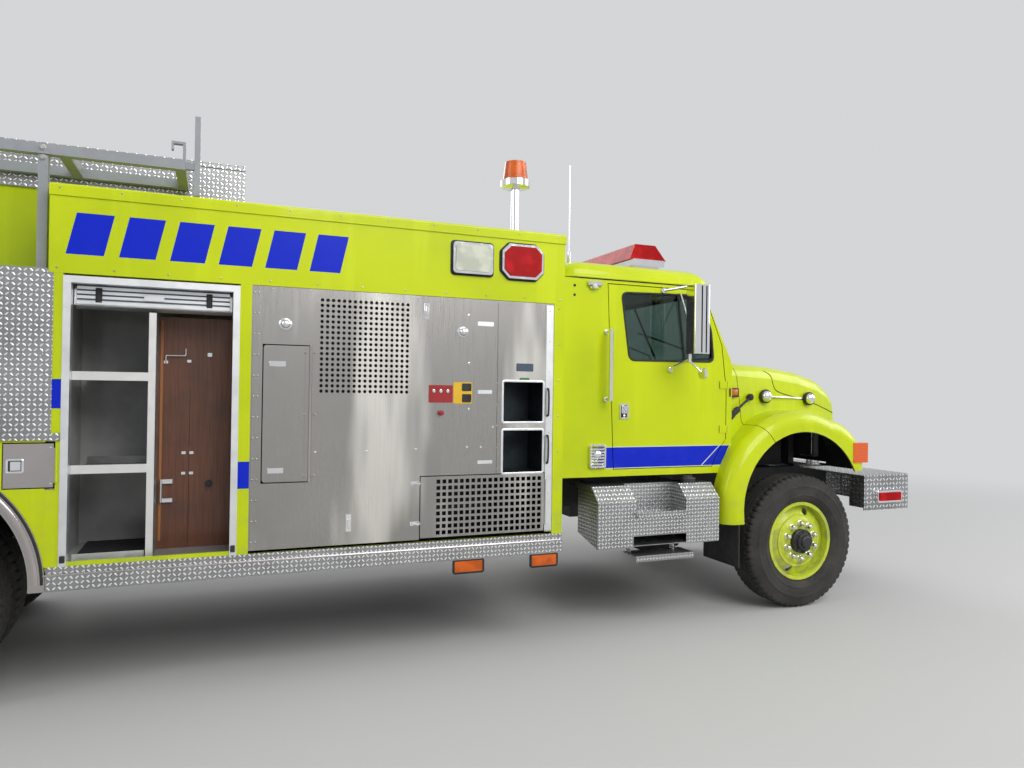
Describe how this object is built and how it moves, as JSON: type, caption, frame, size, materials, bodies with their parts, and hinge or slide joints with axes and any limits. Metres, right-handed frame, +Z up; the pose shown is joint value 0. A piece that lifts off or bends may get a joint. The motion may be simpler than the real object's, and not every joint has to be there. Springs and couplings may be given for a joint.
{
  "type": "rescue truck",
  "caption": "Conventional-cab four-wheel-drive rescue truck with a walk-around body, side compartments, shelves, hose bed, ladder rack and roof lamps.",
  "frame": {"origin": "on the ground, under the middle of the truck's length and width", "axes": "+X forward, +Y to the driver's left, +Z up"},
  "size_m": [9.1, 2.66, 3.33],
  "materials": {
    "yellow_paint": "gloss safety yellow",
    "chassis_paint": "satin black",
    "cast_iron": "painted casting",
    "window_glass": "clear",
    "seat_vinyl": "grained",
    "dash_plastic": "grained",
    "tread_plate": "bright tread plate",
    "black_rubber": "matte",
    "stainless": "brushed",
    "bare_aluminium": "satin",
    "brown_board": "varnished board",
    "rack_paint": "satin grey",
    "chrome": "polished",
    "clear_lens": "clear lens",
    "red_lens": "moulded lens",
    "amber_lens": "moulded lens",
    "tyre_rubber": "matte"
  },
  "bodies": {
    "chassis": {"cab_shell": "yellow_paint", "cab_roof": "yellow_paint", "rear_fenders": "yellow_paint", "upper_band": "yellow_paint", "rear_fender_panels": "yellow_paint", "body_frame": "yellow_paint", "frame_rails": "chassis_paint", "front_axle": "chassis_paint", "rear_axle": "chassis_paint", "leaf_springs": "chassis_paint", "engine_block": "cast_iron", "driveline": "cast_iron", "cab_glass": "window_glass", "seats": "seat_vinyl", "dashboard": "dash_plastic", "front_bumper": "tread_plate", "step_boxes": "tread_plate", "tread_panels": "tread_plate", "rub_rails": "tread_plate", "side_boards": "tread_plate", "wells_and_flaps": "black_rubber", "side_panels": "stainless", "round_vent": "stainless", "fender_rings": "stainless", "door_frames": "bare_aluminium", "shutters": "bare_aluminium", "shelves": "bare_aluminium", "tool_board": "brown_board", "ladder_rack": "rack_paint", "bright_fittings": "chrome", "clear_lenses": "clear_lens", "red_lenses": "red_lens", "amber_lenses": "amber_lens"},
    "knuckle_left": {"knuckle_left": "chassis_paint"},
    "knuckle_right": {"knuckle_right": "chassis_paint"},
    "tie_rod": {"tie_rod": "chassis_paint"},
    "front_wheel_left": {"front_tyre_left": "tyre_rubber", "front_wheel_left": "yellow_paint"},
    "front_wheel_right": {"front_tyre_right": "tyre_rubber", "front_wheel_right": "yellow_paint"},
    "rear_wheels_left": {"rear_tyres_left": "tyre_rubber", "rear_wheels_left": "yellow_paint"},
    "rear_wheels_right": {"rear_tyres_right": "tyre_rubber", "rear_wheels_right": "yellow_paint"},
    "cab_door_left": {"cab_door_left": "yellow_paint", "door_glass_left": "window_glass", "mirror_left": "chrome"},
    "cab_door_right": {"cab_door_right": "yellow_paint", "door_glass_right": "window_glass", "mirror_right": "chrome"},
    "hood": {"hood": "yellow_paint", "grille": "chrome", "headlamps": "clear_lens"},
    "hatch": {"hatch": "stainless"},
    "vent_door": {"vent_door": "stainless"},
    "fill_door": {"fill_door": "stainless"}
  },
  "joints": [
    {"name": "steer_left", "type": "hinge", "parent": "chassis", "child": "knuckle_left", "pos_m": [3.45, 0.8, 0.52], "axis": [0, 0, 1], "range_deg": [-28, 28]},
    {"name": "steer_right", "type": "hinge", "parent": "chassis", "child": "knuckle_right", "pos_m": [3.45, -0.8, 0.52], "axis": [0, 0, 1], "range_deg": [-28, 28]},
    {"name": "tie_rod_ball", "type": "hinge", "parent": "knuckle_left", "child": "tie_rod", "pos_m": [3.215, 0.8, 0.42], "axis": [0, 0, 1], "range_deg": [-28, 28]},
    {"name": "front_spin_left", "type": "hinge", "parent": "knuckle_left", "child": "front_wheel_left", "pos_m": [3.45, 0.995, 0.52], "axis": [0, 1, 0], "continuous": true},
    {"name": "front_spin_right", "type": "hinge", "parent": "knuckle_right", "child": "front_wheel_right", "pos_m": [3.45, -0.995, 0.52], "axis": [0, 1, 0], "continuous": true},
    {"name": "rear_spin_left", "type": "hinge", "parent": "chassis", "child": "rear_wheels_left", "pos_m": [-2.36, 0.82, 0.52], "axis": [0, 1, 0], "continuous": true},
    {"name": "rear_spin_right", "type": "hinge", "parent": "chassis", "child": "rear_wheels_right", "pos_m": [-2.36, -0.82, 0.52], "axis": [0, 1, 0], "continuous": true},
    {"name": "cab_door_left", "type": "hinge", "parent": "chassis", "child": "cab_door_left", "pos_m": [2.81, 1.0035, 1.57], "axis": [0, 0, -1], "range_deg": [0, 60]},
    {"name": "cab_door_right", "type": "hinge", "parent": "chassis", "child": "cab_door_right", "pos_m": [2.81, -1.0035, 1.57], "axis": [0, 0, 1], "range_deg": [0, 60]},
    {"name": "hood_tilt", "type": "hinge", "parent": "chassis", "child": "hood", "pos_m": [4.298, 0, 1.092], "axis": [0, 1, 0], "range_deg": [0, 60]},
    {"name": "hatch_hinge", "type": "hinge", "parent": "chassis", "child": "hatch", "pos_m": [-0.332, -1.2205, 1.5235], "axis": [0, 0, 1], "range_deg": [0, 110]},
    {"name": "vent_door_hinge", "type": "hinge", "parent": "chassis", "child": "vent_door", "pos_m": [1.175, -1.2205, 0.9465], "axis": [0, 0, 1], "range_deg": [0, 100]},
    {"name": "fill_door_hinge", "type": "hinge", "parent": "chassis", "child": "fill_door", "pos_m": [-1.595, -1.2235, 1.2575], "axis": [0, 0, 1], "range_deg": [0, 100]}
  ],
  "couplings": [
    {"joint": "steer_right", "follows": "steer_left", "ratio": 1},
    {"joint": "tie_rod_ball", "follows": "steer_left", "ratio": -1}
  ]
}
